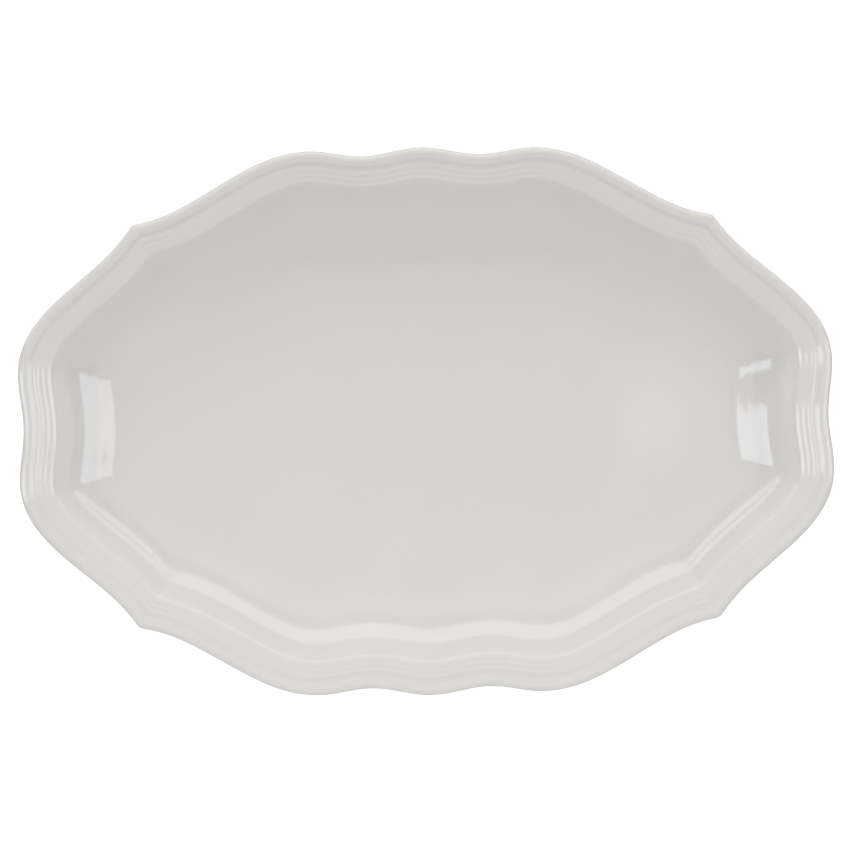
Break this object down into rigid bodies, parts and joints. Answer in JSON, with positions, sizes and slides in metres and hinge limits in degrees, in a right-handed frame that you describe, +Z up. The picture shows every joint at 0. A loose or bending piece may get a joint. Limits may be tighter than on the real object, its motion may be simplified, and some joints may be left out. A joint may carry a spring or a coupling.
{
  "type": "serving platter",
  "caption": "Oval white glazed china serving platter with a scalloped, cusped and ribbed rim, sloping wall, flat well and unglazed foot ring.",
  "frame": {"origin": "on the table surface, under the middle of the platter, which is the middle of the foot ring's underside", "axes": "+X along the platter's long axis, +Y across it towards one long side, +Z up out of the open well"},
  "size_m": [0.38, 0.2556, 0.0303],
  "materials": {
    "glazed_porcelain": "clear gloss glaze over warm white porcelain",
    "unglazed_foot": "bare fired porcelain, ground flat, matt"
  },
  "bodies": {
    "root": {"platter_body": "glazed_porcelain", "foot_ring": "unglazed_foot"}
  },
  "joints": []
}
